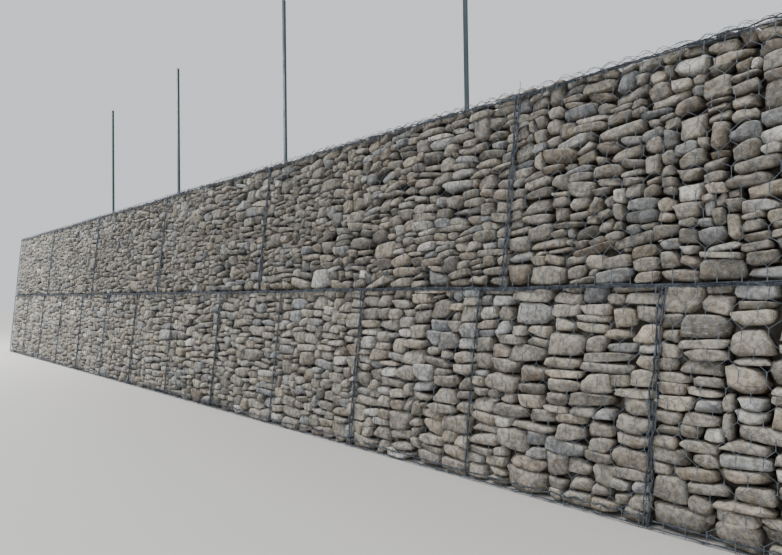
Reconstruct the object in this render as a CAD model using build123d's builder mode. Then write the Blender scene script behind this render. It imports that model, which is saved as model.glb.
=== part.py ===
"""Gabion wall: two courses of stone-filled wire boxes leaning back, with fence posts on top.

The wall runs along X with its front face towards -Y. The far end is at -X. Z = 0 is the level
ground under the lower course, and the origin is the middle of the wall's underside.
"""

import os
from functools import lru_cache
from math import cos, radians, tan

from build123d import *

# Driving sizes of the wall, in millimetres and degrees
wall_depth = 1000.0
course_height = 1000.0
batter = 5.5

# Standard boxes of the lower course: cells parted by diaphragms, and a shorter box to close it
cell_length = 1000.0
cells_in_box = 2

# Boxes of the upper course, joint to joint
upper_box = 2200.0
upper_short_box = 2100.0
upper_long_box = 2500.0
upper_end_box = 1800.0

# Edge bars: the selvedge wire with the mesh wires wound round it, a bundle drawn square
edge_bar = 12.0

# Stone fill
fill_clearance = 0.3
face_bulge = 30.0
joint_bulge = 3.0
end_bulge = 24.0
top_crown = 25.0
joint_crown = 8.0
swell_steps = 8

# Fence posts: T-section steel, one in each upper box but the far one
post_flange = 30.0
post_web = 30.0
post_thickness = 4.0
post_height = 1700.0
post_depth = 500.0
post_clearance = 0.3
posts_from_joint = (990.0, 850.0, 550.0, 790.0, 260.0)

# Sizes that follow, the upper boxes named from the far end
upper_box_lengths = (
    upper_box, upper_box, upper_box, upper_short_box, upper_long_box, upper_end_box
)
wall_length = sum(upper_box_lengths)
wall_height = 2 * course_height
far_end = -wall_length / 2
near_end = wall_length / 2
half_depth = wall_depth / 2
cage_height = course_height - edge_bar
bar_line = half_depth - edge_bar / 2
bar_seat = edge_bar + fill_clearance
lean_direction = (0, tan(radians(batter)), 1)


def lean(z):
    """How far the leaning face has moved back at height z."""
    return z * tan(radians(batter))


def along_batter(height):
    """Length along the leaning face that rises by height."""
    return height / cos(radians(batter))


def bar_profiles(*centres):
    """Draw one bar section at each centre."""
    with Locations(*centres):
        Rectangle(edge_bar, edge_bar)


def long_bars(length, heights):
    """Add the bars along the front and the back of a box, with their middles at the heights."""
    with BuildSketch(Plane.YZ) as sections:
        bar_profiles(*[(side * bar_line + lean(z), z) for z in heights for side in (-1, 1)])
    extrude(sections.sketch, amount=length)


def cross_bars(places, heights):
    """Add the bars from front to back, with their middles at the places and heights."""
    for z in heights:
        with BuildSketch(Plane.XZ.offset(half_depth - lean(z))) as sections:
            bar_profiles(*[(x, z) for x in places])
        extrude(sections.sketch, amount=-wall_depth)


def upright_bars(places, height):
    """Add the leaning bars on the front and the back, at each place along the box."""
    with BuildSketch(Plane.XY) as sections:
        bar_profiles(*[(x, side * bar_line) for x in places for side in (-1, 1)])
    extrude(sections.sketch, amount=along_batter(height), dir=lean_direction)


@lru_cache
def make_basket(length, cells):
    """One open-topped wire cage, from x = 0, with its end frames and diaphragm frames."""
    heights = [edge_bar / 2, cage_height - edge_bar / 2]
    diaphragms = [length * index / cells for index in range(1, cells)]
    frames = [edge_bar / 2, *diaphragms, length - edge_bar / 2]
    with BuildPart() as basket:
        long_bars(length, heights)
        cross_bars(frames, heights)
        upright_bars(frames, cage_height)
    return basket.part


@lru_cache
def make_lid(length):
    """One lid frame, from x = 0, which lies on the top bars of its cage."""
    heights = [course_height - edge_bar / 2]
    with BuildPart() as lid:
        long_bars(length, heights)
        cross_bars([edge_bar / 2, length - edge_bar / 2], heights)
    return lid.part


def fill_section(x, bulge, crown):
    """Cross-section of the fill at x: bulging front and back, flat underside, crowned top.

    Its four corners are stepped back round the long bars of the cage and the lid.
    """
    front = -half_depth
    back = half_depth
    low_bar = lean(edge_bar / 2)
    high_bar = lean(cage_height - edge_bar / 2)
    lid_bar = lean(course_height - edge_bar / 2)
    middle = course_height / 2
    face_top = cage_height - bar_seat
    with BuildSketch(Plane.YZ.offset(x)) as section:
        with BuildLine():
            Polyline(
                (front + lean(bar_seat), bar_seat),
                (front + bar_seat + low_bar, bar_seat),
                (front + bar_seat + low_bar, 0),
                (back - bar_seat + low_bar, 0),
                (back - bar_seat + low_bar, bar_seat),
                (back + lean(bar_seat), bar_seat),
            )
            ThreePointArc(
                (back + lean(bar_seat), bar_seat),
                (back + lean(middle) + bulge, middle),
                (back + lean(face_top), face_top),
            )
            Polyline(
                (back + lean(face_top), face_top),
                (back - bar_seat + high_bar, face_top),
                (back - bar_seat + high_bar, course_height),
            )
            if crown > 0:
                ThreePointArc(
                    (back - bar_seat + high_bar, course_height),
                    (lean(course_height), course_height + crown),
                    (front + bar_seat + lid_bar, course_height),
                )
            else:
                Line(
                    (back - bar_seat + high_bar, course_height),
                    (front + bar_seat + lid_bar, course_height),
                )
            Polyline(
                (front + bar_seat + lid_bar, course_height),
                (front + bar_seat + lid_bar, face_top),
                (front + lean(face_top), face_top),
            )
            ThreePointArc(
                (front + lean(face_top), face_top),
                (front + lean(middle) - bulge, middle),
                (front + lean(bar_seat), bar_seat),
            )
        make_face()
    return section.sketch


def end_swell(end, outward):
    """Add the stones of an end panel, which press the mesh out between the end frame's bars."""
    seat = end - outward * bar_seat
    edge = half_depth - bar_seat
    rise = cage_height - 2 * bar_seat
    front = (seat, lean(bar_seat) - edge)
    back = (seat, lean(bar_seat) + edge)
    with BuildSketch(Plane.XY.offset(bar_seat)) as swell:
        with BuildLine():
            ThreePointArc(front, (end + outward * end_bulge, lean(bar_seat)), back)
            Line(back, front)
        make_face()
    extrude(swell.sketch, amount=along_batter(rise), dir=lean_direction)


def post_profile(x, y, grow=0.0):
    """Draw the T section of a post at (x, y), with its flange to the front."""
    with Locations((x, y)):
        Rectangle(post_flange + 2 * grow, post_thickness + 2 * grow)
    with Locations((x, y - post_thickness / 2 - grow)):
        Rectangle(
            post_thickness + 2 * grow, post_web + 2 * grow, align=(Align.CENTER, Align.MIN)
        )


@lru_cache
def make_fill(length, start, end, *, crowned, post=None, far_swell=False, near_swell=False):
    """Stones of one cell, from start to end in a box of the given length.

    A post is given by its place in the box, and the fill has a socket there. A swell is the
    rounding of an end panel that no neighbour holds back.
    """
    crown, side_crown = (top_crown, joint_crown) if crowned else (0, 0)
    with BuildPart() as fill:
        sections = []
        for step in range(swell_steps + 1):
            place = step / swell_steps
            swell = 4 * place * (1 - place)
            bulge = joint_bulge + swell * (face_bulge - joint_bulge)
            height = side_crown + swell * (crown - side_crown)
            sections.append(fill_section(start + place * (end - start), bulge, height))
        loft(sections, ruled=True)
        if far_swell:
            end_swell(0, -1)
        if near_swell:
            end_swell(length, 1)
        if post is not None:
            with BuildSketch(Plane.XY.offset(course_height - post_depth)) as socket:
                post_profile(post, lean(wall_height) - lean(course_height), post_clearance)
            extrude(socket.sketch, amount=post_depth + crown, mode=Mode.SUBTRACT)
    return fill.part


def cell_ends(length, cells):
    """Where the fill of each cell starts and ends, clear of the frames between the cells."""
    diaphragms = [length * index / cells for index in range(1, cells)]
    clear = edge_bar / 2 + fill_clearance
    starts = [bar_seat, *[x + clear for x in diaphragms]]
    ends = [*[x - clear for x in diaphragms], length - bar_seat]
    return list(zip(starts, ends))


def save(part, name, x=0.0, z=0.0):
    """Put a finished piece in its place on the leaning wall, label it and write its file."""
    placed = part.moved(Location((x, lean(z), z)))
    placed.label = name
    export_step(placed, f"parts/{name}.step")


os.makedirs("parts", exist_ok=True)

# Lower course: standard boxes from the far end
lower_box_length = cell_length * cells_in_box
standard_boxes = int((wall_length - cell_length / 2) // lower_box_length)
for number in range(1, standard_boxes + 1):
    start = far_end + (number - 1) * lower_box_length
    save(make_basket(lower_box_length, cells_in_box), f"lower_basket_{number}", start)
    save(make_lid(lower_box_length), f"lower_lid_{number}", start)
    with BuildPart() as lower_fill:
        for index, ends in enumerate(cell_ends(lower_box_length, cells_in_box)):
            far_swell = number == 1 and index == 0
            add(make_fill(lower_box_length, *ends, crowned=False, far_swell=far_swell))
    save(lower_fill.part, f"lower_fill_{number}", start)

# Lower course: the box of one cell that closes it at the near end
start = far_end + standard_boxes * lower_box_length
length = near_end - start
save(make_basket(length, 1), "lower_end_basket", start)
save(make_lid(length), "lower_end_lid", start)
fill = make_fill(length, *cell_ends(length, 1)[0], crowned=False, near_swell=True)
save(fill, "lower_end_fill", start)

# Upper course: one post stands in each box after the far one
upper_joints = [
    far_end + sum(upper_box_lengths[:count]) for count in range(len(upper_box_lengths) + 1)
]
post_places = [joint - from_joint for joint, from_joint in zip(upper_joints[2:], posts_from_joint)]

for number, (start, end) in enumerate(zip(upper_joints, upper_joints[1:]), 1):
    length = end - start
    save(make_basket(length, 1), f"upper_basket_{number}", start, course_height)
    save(make_lid(length), f"upper_lid_{number}", start, course_height)
    post = next((x - start for x in post_places if start < x < end), None)
    fill = make_fill(
        length,
        *cell_ends(length, 1)[0],
        crowned=True,
        post=post,
        far_swell=start == far_end,
        near_swell=end == near_end,
    )
    save(fill, f"upper_fill_{number}", start, course_height)

# Fence posts, plumb, each standing on the floor of its socket
for number, x in enumerate(post_places, 1):
    with BuildPart() as fence_post:
        with BuildSketch(Plane.XY.offset(wall_height - post_depth)):
            post_profile(x, lean(wall_height))
        extrude(amount=post_depth + post_height)
    save(fence_post.part, f"fence_post_{number}")
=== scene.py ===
"""Dresses the gabion wall's frame: cobbles, netting, selvedge wires, lacing and fence posts.

Every length is in metres, in the frame's own axes: X along the wall, Y from the front face to
the back, Z up. The wall leans back, towards +Y, as it rises.
"""

from __future__ import annotations

import logging
import math
from collections.abc import Iterator, Mapping, Sequence
from dataclasses import dataclass, field
from enum import Enum

import bmesh
import bpy
import numpy as np
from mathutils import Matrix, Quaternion, Vector, noise

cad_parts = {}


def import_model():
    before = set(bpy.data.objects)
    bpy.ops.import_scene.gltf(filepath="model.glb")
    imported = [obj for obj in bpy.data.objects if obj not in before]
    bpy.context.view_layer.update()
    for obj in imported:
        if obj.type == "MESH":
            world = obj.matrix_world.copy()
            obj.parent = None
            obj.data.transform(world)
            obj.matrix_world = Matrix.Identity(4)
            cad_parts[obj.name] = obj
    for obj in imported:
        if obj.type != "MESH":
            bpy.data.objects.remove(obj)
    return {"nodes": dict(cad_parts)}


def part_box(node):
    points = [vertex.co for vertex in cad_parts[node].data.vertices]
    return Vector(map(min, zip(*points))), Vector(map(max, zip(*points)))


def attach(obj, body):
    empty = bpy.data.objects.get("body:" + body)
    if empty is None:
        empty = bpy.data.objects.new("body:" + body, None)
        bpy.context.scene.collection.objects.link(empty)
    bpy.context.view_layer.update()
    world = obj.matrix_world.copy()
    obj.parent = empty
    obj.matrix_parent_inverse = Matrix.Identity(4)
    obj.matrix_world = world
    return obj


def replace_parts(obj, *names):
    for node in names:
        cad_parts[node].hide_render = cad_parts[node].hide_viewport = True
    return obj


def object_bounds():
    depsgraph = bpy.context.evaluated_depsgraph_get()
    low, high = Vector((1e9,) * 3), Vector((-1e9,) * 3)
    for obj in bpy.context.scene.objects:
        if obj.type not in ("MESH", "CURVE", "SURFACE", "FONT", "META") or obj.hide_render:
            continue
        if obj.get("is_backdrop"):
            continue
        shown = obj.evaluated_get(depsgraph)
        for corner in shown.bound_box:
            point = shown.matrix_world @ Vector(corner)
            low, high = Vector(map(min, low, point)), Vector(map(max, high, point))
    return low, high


LOG = logging.getLogger("gabion_wall")
BODY = "root"
TOUCHING = 1e-4
BOX_NUMBERS = range(1, 7)
STANDARD_CELLS = 2
FIRST_SEED = 100

# A noise is a triple of its scale, its detail and its roughness. A band is one of the value
# that gives 0, the value that gives the full amount, and that amount. A wave is one of its
# mean, its height and how many radians it turns in a metre.
Pair = tuple[float, float]
Triple = tuple[float, float, float]
Colour = tuple[float, float, float, float]


class Field:
    """A value that a node's output carries, with arithmetic that adds Math nodes."""

    def __init__(self, shader: Shader, socket: bpy.types.NodeSocket) -> None:
        """Keep the shader that the value belongs to and the socket that gives it."""
        self.shader = shader
        self.socket = socket

    def _math(self, operation: str, first: Operand, second: Operand) -> Field:
        """The value of a new Math node on two operands."""
        return self.shader.node("ShaderNodeMath", {"operation": operation}, {0: first, 1: second})

    def __add__(self, other: Operand) -> Field:
        """Add a value or a number."""
        return self._math("ADD", self, other)

    def __radd__(self, other: Operand) -> Field:
        """Add to a number."""
        return self._math("ADD", other, self)

    def __sub__(self, other: Operand) -> Field:
        """Take away a value or a number."""
        return self._math("SUBTRACT", self, other)

    def __rsub__(self, other: Operand) -> Field:
        """Take away from a number."""
        return self._math("SUBTRACT", other, self)

    def __mul__(self, other: Operand) -> Field:
        """Multiply by a value or a number."""
        return self._math("MULTIPLY", self, other)

    def __rmul__(self, other: Operand) -> Field:
        """Multiply a number."""
        return self._math("MULTIPLY", other, self)

    def distance_to(self, other: Operand) -> Field:
        """How far the value lies from another, without its sign."""
        difference = self - other
        return self.shader.node("ShaderNodeMath", {"operation": "ABSOLUTE"}, {0: difference})

    def between(self, low: float, high: float) -> Field:
        """Ease from 0 to 1 over a range of the value.

        Args:
            low: the value that gives 0.
            high: the value that gives 1, which may be the less of the two.

        Returns:
            The eased value.
        """
        inputs = {"Value": self, "From Min": low, "From Max": high}
        settings = {"interpolation_type": "SMOOTHSTEP"}
        return self.shader.node("ShaderNodeMapRange", settings, inputs)

    def band(self, limits: Triple) -> Field:
        """Ease from 0 to an amount over a band."""
        low, high, amount = limits
        return self.between(low, high) * amount


Operand = Field | float


class Shader:
    """One material with a Principled surface, and the one method that adds its other nodes."""

    def __init__(self, name: str) -> None:
        """Start a material with a Principled surface.

        Args:
            name: the material's name.
        """
        self.material = bpy.data.materials.new(name)
        self.material.use_nodes = True
        self.tree = self.material.node_tree
        self.tree.nodes.clear()
        self.surface = self.tree.nodes.new("ShaderNodeBsdfPrincipled")
        output = self.tree.nodes.new("ShaderNodeOutputMaterial")
        self.tree.links.new(self.surface.outputs["BSDF"], output.inputs["Surface"])

    def node(
        self,
        kind: str,
        settings: Mapping[str, object] | None = None,
        inputs: Mapping[str | int, object] | None = None,
        output: str | int = 0,
    ) -> Field:
        """Add one node.

        Args:
            kind: the node's type.
            settings: its settings, set before its sockets; stops are a colour ramp's.
            inputs: values or fields for its input sockets, by name or number.
            output: the output socket that is wanted.

        Returns:
            The value of that output.
        """
        made = self.tree.nodes.new(kind)
        for name, value in (settings or {}).items():
            if name == "stops":
                self._set_stops(made.color_ramp, value)
            else:
                setattr(made, name, value)
        for key, value in (inputs or {}).items():
            self._feed(made.inputs[key], value)
        return Field(self, made.outputs[output])

    def _feed(self, socket: bpy.types.NodeSocket, value: object) -> None:
        """Link a field to a socket, or set the socket's own value.

        Args:
            socket: the input socket.
            value: the field, or the number, vector or colour, that it gets.
        """
        if isinstance(value, Field):
            self.tree.links.new(value.socket, socket)
        else:
            socket.default_value = value

    def _set_stops(self, ramp: bpy.types.ColorRamp, stops: Sequence[tuple[float, Colour]]) -> None:
        """Give a colour ramp its stops.

        Args:
            ramp: the ramp.
            stops: the place and the colour of each, in rising order.
        """
        while len(ramp.elements) > len(stops):
            ramp.elements.remove(ramp.elements[-1])
        while len(ramp.elements) < len(stops):
            ramp.elements.new(1.0)
        for element, (position, colour) in zip(ramp.elements, stops):
            element.position = position
            element.color = colour

    def place(self) -> Field:
        """Object coordinates."""
        return self.node("ShaderNodeTexCoord", output="Object")

    def mix(self, factor: Operand, first: object, second: object) -> Field:
        """A mix of two colours, with as much of the second as the factor says."""
        inputs = {0: factor, 6: first, 7: second}
        return self.node("ShaderNodeMix", {"data_type": "RGBA"}, inputs, output=2)

    def scaled(self, vector: Field, amount: Operand) -> Field:
        """A vector or a colour times a number."""
        return self.node("ShaderNodeVectorMath", {"operation": "SCALE"}, {0: vector, 3: amount})

    def moved(self, vector: Field, offset: Field) -> Field:
        """A vector plus another."""
        return self.node("ShaderNodeVectorMath", {"operation": "ADD"}, {0: vector, 1: offset})

    def stretched(self, vector: Field, factors: Triple) -> Field:
        """A vector with each of its axes times a number."""
        inputs = {0: vector, 1: factors}
        return self.node("ShaderNodeVectorMath", {"operation": "MULTIPLY"}, inputs)

    def parts(self, kind: str, value: Field, names: Sequence[str]) -> list[Field]:
        """The named parts of a colour or a vector, by the type of node that separates it."""
        return [self.node(kind, inputs={0: value}, output=name) for name in names]

    def noise(self, vector: Field, scale: float, detail: float, rough: float) -> Field:
        """Cloudy noise between 0 and 1, read at the vector."""
        inputs = {"Vector": vector, "Scale": scale, "Detail": detail, "Roughness": rough}
        return self.node("ShaderNodeTexNoise", inputs=inputs)

    def bump(self, height: Field, strength: float, distance: float) -> None:
        """Raise the surface by a height field."""
        inputs = {"Strength": strength, "Distance": distance, "Height": height}
        self.set(Normal=self.node("ShaderNodeBump", inputs=inputs))

    def set(self, **inputs: object) -> None:
        """Feed the surface's sockets, named with underscores for spaces."""
        for name, value in inputs.items():
            self._feed(self.surface.inputs[name.replace("_", " ")], value)


@dataclass(frozen=True)
class CobbleFinish:
    """Matt river cobbles: mostly grey-beige, some tan, brown, blue-grey or pale.

    The mesh attribute gives each stone's shade, kind and phase, and how far a point of it lies
    back from the face of the wall.
    """

    slot: str = "river_stone"
    attribute: str = "cobble"
    kinds: tuple[tuple[float, Colour], ...] = (
        (0.00, (0.150, 0.141, 0.124, 1.0)),
        (0.14, (0.270, 0.252, 0.218, 1.0)),
        (0.34, (0.330, 0.304, 0.256, 1.0)),
        (0.54, (0.252, 0.238, 0.208, 1.0)),
        (0.68, (0.370, 0.328, 0.262, 1.0)),
        (0.76, (0.250, 0.212, 0.170, 1.0)),
        (0.83, (0.190, 0.202, 0.210, 1.0)),
        (0.92, (0.310, 0.316, 0.308, 1.0)),
        (1.00, (0.540, 0.520, 0.470, 1.0)),
    )
    # Dark colour of damp dirt, also used as painted shade on undersides and in recesses
    dirt_and_shade: Colour = (0.052, 0.045, 0.036, 1.0)
    # Pale dust, also a painted highlight on the stones' upward faces
    dust_and_top_light: Colour = (0.620, 0.585, 0.520, 1.0)
    stain: Colour = (0.170, 0.122, 0.078, 1.0)
    vein: Colour = (0.520, 0.505, 0.465, 1.0)
    phase_shift: Triple = (19.0, 7.0, 31.0)
    cloud_noise: Triple = (13.0, 4.0, 0.62)
    chip_noise: Triple = (46.0, 3.0, 0.6)
    grain_noise: Triple = (170.0, 2.0, 0.7)
    facet_scale: float = 21.0
    least_mottle: float = 0.40
    cloud_mottle: Triple = (0.32, 0.68, 0.36)
    chip_mottle: Triple = (0.38, 0.62, 0.52)
    grain_mottle: Triple = (0.36, 0.66, 0.34)
    shade_range: Pair = (0.60, 0.80)
    rust_noise: Triple = (27.0, 4.0, 0.65)
    rust_patches: Pair = (0.52, 0.70)
    rusty_stones: Pair = (0.15, 0.60)
    rust: float = 0.60
    vein_noise: Triple = (1.0, 2.0, 0.5)
    vein_stretch: Triple = (6.0, 6.0, 34.0)
    vein_width: float = 0.016
    veined_stones: Pair = (0.80, 0.88)
    veining: float = 0.55
    dust_and_light_side: Pair = (0.05, 0.90)
    least_dust_and_light: float = 0.18
    chip_dust_and_light: Triple = (0.38, 0.62, 0.34)
    damp_noise: Triple = (5.0, 3.0, 0.6)
    damp_patches: Triple = (0.55, 0.80, 0.40)
    # Undersides are darkened: partly grime, partly painted shade under the stones
    grime_and_shade_side: Triple = (-0.15, -0.90, 0.38)
    # Points that lie deep in the wall are darkened as painted shade in the recesses
    recess_shade: float = 0.66
    relief_shares: tuple[float, ...] = (0.40, 0.34, 0.16, 0.45)
    relief_depth: float = 0.016
    smoothness: float = 0.18
    specular: float = 0.28

    def material(self) -> bpy.types.Material:
        """Build the material.

        Returns:
            The material.
        """
        shader = Shader("river_cobble")
        seed, depth = (
            shader.node("ShaderNodeAttribute", {"attribute_name": self.attribute}, output=output)
            for output in ("Color", "Alpha")
        )
        shade, kind, phase = shader.parts("ShaderNodeSeparateColor", seed, ("Red", "Green", "Blue"))
        normal = shader.node("ShaderNodeNewGeometry", output="Normal")
        (upward,) = shader.parts("ShaderNodeSeparateXYZ", normal, ("Z",))
        shifts = {axis: phase * factor for axis, factor in zip("XYZ", self.phase_shift)}
        offset = shader.node("ShaderNodeCombineXYZ", inputs=shifts)
        spot = shader.moved(shader.place(), offset)
        stone = shader.node("ShaderNodeValToRGB", {"stops": self.kinds}, {"Fac": kind})
        clouds = shader.noise(spot, *self.cloud_noise)
        chips = shader.noise(spot, *self.chip_noise)
        grain = shader.noise(spot, *self.grain_noise)
        bands = shader.noise(shader.stretched(spot, self.vein_stretch), *self.vein_noise)
        cells = {"Vector": spot, "Scale": self.facet_scale}
        facets = shader.node("ShaderNodeTexVoronoi", {"feature": "F1"}, cells)

        # The stone's own colour and shade, mottled from the size of a hand down to grains
        mottle = self.least_mottle + clouds.band(self.cloud_mottle) + chips.band(self.chip_mottle)
        mottle = mottle + grain.band(self.grain_mottle)
        darkest, range_up = self.shade_range
        colour = shader.scaled(stone, (darkest + shade * range_up) * mottle)

        # Rusty patches and pale veins, each on some of the stones only
        patches = shader.noise(spot, *self.rust_noise).between(*self.rust_patches)
        rust = patches * phase.between(*self.rusty_stones)
        colour = shader.mix(rust * self.rust, colour, self.stain)
        lines = bands.distance_to(0.5).between(self.vein_width, 0.0)
        veins = lines * phase.between(*self.veined_stones)
        colour = shader.mix(veins * self.veining, colour, self.vein)

        # Dust and a painted top light on what faces up, dirt on damp patches,
        # dirt and painted shade on undersides, and painted shade on what lies deep
        upper = upward.between(*self.dust_and_light_side)
        dust_and_top_light = upper * (self.least_dust_and_light + chips.band(self.chip_dust_and_light))
        colour = shader.mix(dust_and_top_light, colour, self.dust_and_top_light)
        damp = shader.noise(spot, *self.damp_noise).band(self.damp_patches)
        grime_and_underside_shade = upward.band(self.grime_and_shade_side)
        colour = shader.mix(damp, colour, self.dirt_and_shade)
        colour = shader.mix(grime_and_underside_shade, colour, self.dirt_and_shade)
        colour = shader.mix(depth * self.recess_shade, colour, self.dirt_and_shade)

        shares = self.relief_shares
        relief = clouds * shares[0] + chips * shares[1] + grain * shares[2] + facets * shares[3]
        shader.bump(relief, 1.0, self.relief_depth)
        shader.set(
            Base_Color=colour,
            Roughness=1.0 - clouds * self.smoothness,
            Specular_IOR_Level=self.specular,
        )
        return shader.material


@dataclass(frozen=True)
class RubbleFinish:
    """Stone rubble, seen only through the gaps between the face stones, and painted dark as the
    shade in those gaps.
    """

    slot: str = "river_stone"
    # Both colours are far darker than the face stones: painted shade deep in the gaps
    dark: Colour = (0.042, 0.038, 0.033, 1.0)
    light: Colour = (0.165, 0.149, 0.122, 1.0)
    lump_scale: float = 16.0
    lump_limits: Pair = (0.1, 0.6)
    relief_depth: float = 0.04
    smoothness: float = 0.1

    def material(self) -> bpy.types.Material:
        """Build the material.

        Returns:
            The material.
        """
        shader = Shader("inner_rubble")
        inputs = {"Vector": shader.place(), "Scale": self.lump_scale}
        lumps = shader.node("ShaderNodeTexVoronoi", {"feature": "SMOOTH_F1"}, inputs)
        shader.bump(1.0 - lumps, 1.0, self.relief_depth)
        colour = shader.mix(lumps.between(*self.lump_limits), self.light, self.dark)
        shader.set(Base_Color=colour, Roughness=1.0 - lumps * self.smoothness)
        return shader.material


@dataclass(frozen=True)
class WireFinish:
    """Zinc-coated steel wire, weathered to dull blue-grey; the edge wire's finish is darker still,
    as painted shade.
    """

    name: str
    bright: Colour
    dull: Colour
    metal: float
    slot: str = "galvanised_wire"
    weather_noise: Triple = (34.0, 4.0, 0.7)
    weathered: Pair = (0.38, 0.62)
    spangle_noise: Triple = (240.0, 2.0, 0.6)
    relief: Pair = (0.25, 0.0006)
    metal_loss: float = 0.25
    roughness: Triple = (0.42, 0.25, 0.08)

    def material(self) -> bpy.types.Material:
        """Build the material.

        Returns:
            The material.
        """
        shader = Shader(self.name)
        weather = shader.noise(shader.place(), *self.weather_noise).between(*self.weathered)
        spangle = shader.noise(shader.place(), *self.spangle_noise)
        colour = shader.mix(weather, self.bright, self.dull)
        shader.bump(spangle, *self.relief)
        smooth, worn, spangled = self.roughness
        shader.set(
            Base_Color=colour,
            Metallic=self.metal - weather * self.metal_loss,
            Roughness=smooth + weather * worn + spangle * spangled,
        )
        return shader.material


NETTING_WIRE = WireFinish(
    "netting_wire", bright=(0.172, 0.208, 0.254, 1.0), dull=(0.106, 0.130, 0.162, 1.0), metal=0.30
)
# Edge wires and lacing: darker than the netting, painted shade of the crowded joints and course
# line
SHADED_EDGE_WIRE = WireFinish(
    "edge_wire", bright=(0.112, 0.136, 0.168, 1.0), dull=(0.042, 0.052, 0.066, 1.0), metal=0.35
)


@dataclass(frozen=True)
class PostFinish:
    """Dark blue-green coating on steel, chalky with age and muddy at the foot."""

    slot: str = "post_coating"
    coat: Colour = (0.018, 0.046, 0.056, 1.0)
    chalk: Colour = (0.055, 0.086, 0.098, 1.0)
    mud: Colour = (0.110, 0.092, 0.068, 1.0)
    streak_stretch: Triple = (60.0, 60.0, 2.2)
    streak_noise: Triple = (1.0, 3.0, 0.6)
    patch_noise: Triple = (9.0, 4.0, 0.6)
    wear_limits: Pair = (0.42, 0.64)
    chalking: float = 0.75
    mud_heights: Pair = (2.35, 2.02)
    mud_patches: Pair = (0.40, 0.62)
    mud_cover: float = 0.7
    peel_noise: Triple = (320.0, 2.0, 0.6)
    relief: Pair = (0.18, 0.0008)
    roughness: Triple = (0.38, 0.25, 0.25)

    def material(self) -> bpy.types.Material:
        """Build the material.

        Returns:
            The material.
        """
        shader = Shader("coated_post")
        place = shader.place()
        (height,) = shader.parts("ShaderNodeSeparateXYZ", place, ("Z",))
        streaks = shader.noise(shader.stretched(place, self.streak_stretch), *self.streak_noise)
        patches = shader.noise(place, *self.patch_noise)
        worn = (streaks * 0.5 + patches * 0.5).between(*self.wear_limits)
        splash = height.between(*self.mud_heights) * patches.between(*self.mud_patches)
        colour = shader.mix(worn * self.chalking, self.coat, self.chalk)
        colour = shader.mix(splash * self.mud_cover, colour, self.mud)
        shader.bump(shader.noise(place, *self.peel_noise), *self.relief)
        smooth, chalky, muddy = self.roughness
        shader.set(Base_Color=colour, Roughness=smooth + worn * chalky + splash * muddy)
        return shader.material


@dataclass(frozen=True)
class FloorFinish:
    """Plain pale floor."""

    pale: Colour = (0.62, 0.61, 0.59, 1.0)
    roughness: float = 0.9

    def material(self) -> bpy.types.Material:
        """Build the material.

        Returns:
            The material.
        """
        shader = Shader("pale_floor")
        shader.set(Base_Color=self.pale, Roughness=self.roughness)
        return shader.material


def wave(places: np.ndarray, shape: Triple, phase: float) -> np.ndarray:
    """The height of a wave at each place, with its phase at a distance of 0."""
    mean, height, turning = shape
    return mean + height * np.sin(places * turning + phase)


class Side(Enum):
    """The faces of the wall."""

    FRONT = "front"
    BACK = "back"
    TOP = "top"
    FAR_END = "far_end"
    NEAR_END = "near_end"


@dataclass(frozen=True)
class WallForm:
    """The wall's main planes, read from the frame, and how far its panels swell out of them."""

    half_depth: float
    slope: float
    bar: float
    far: float
    near: float
    face_bulge: float = 0.030
    joint_bulge: float = 0.003
    end_bulge: float = 0.024
    top_crown: float = 0.025
    joint_crown: float = 0.008
    net_inside: float = 0.0062
    wire_inside: float = 0.005
    joint_bow: float = 0.010
    bow_wave: Pair = (5.1, 0.8)
    joint_lean: float = 0.045
    sag_depth: float = 0.006
    sag_waves: tuple[tuple[Triple, float], ...] = (((0.0, 0.6, 2.3), 0.0), ((0.0, 0.4, 6.1), 1.3))
    top_shoulder: float = 2.4
    end_shoulder: float = 3.0

    @classmethod
    def from_frame(cls) -> WallForm:
        """Read the depth, the slope, the edge bar and the ends from the cages and a lid.

        Returns:
            The wall's form.
        """
        cage_low, cage_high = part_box("lower_basket_1")
        lid_low, lid_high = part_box("lower_lid_1")
        depth = lid_high.y - lid_low.y
        slope = (cage_high.y - cage_low.y - depth) / (cage_high.z - cage_low.z)
        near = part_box("lower_end_basket")[1].x
        return cls(depth / 2, slope, lid_high.z - lid_low.z, cage_low.x, near)

    def sway(self, x: float, share: float | np.ndarray) -> float | np.ndarray:
        """How far the joint at x strays along the wall: it leans and bows, but not at the ends.

        How much each joint bows, and which way, follows from its place.

        Args:
            x: the joint's place along the wall.
            share: the heights, as shares of the course's height.

        Returns:
            The distances towards the near end.
        """
        if min(x - self.far, self.near - x) < TOUCHING:
            return share * 0.0
        turning, phase = self.bow_wave
        bow = self.joint_bow * np.sin(math.pi * share) * math.sin(turning * x + phase)
        return bow + self.joint_lean * (share - 0.5)

    def sag(self, x: np.ndarray) -> np.ndarray:
        """How far the long wires of a joint rise or sink in slow waves at each place."""
        return self.sag_depth * sum(wave(x, shape, phase) for shape, phase in self.sag_waves)

    @property
    def bar_line(self) -> float:
        """How far the middles of the long edge wires lie from the wall's middle plane."""
        return self.half_depth - self.bar / 2 - self.wire_inside

    def lean(self, z: float | np.ndarray) -> float | np.ndarray:
        """How far the wall has moved back at height z."""
        return z * self.slope

    def point(self, x: float, out: float, z: float) -> Vector:
        """The point at x and height z that lies so far behind the wall's middle plane."""
        return Vector((x, self.lean(z) + out, z))


def arch(share: np.ndarray) -> np.ndarray:
    """A parabola that rises from 0 at a share of 0 to 1 at a half and falls to 0 at 1."""
    return 4.0 * share * (1.0 - share)


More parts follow.
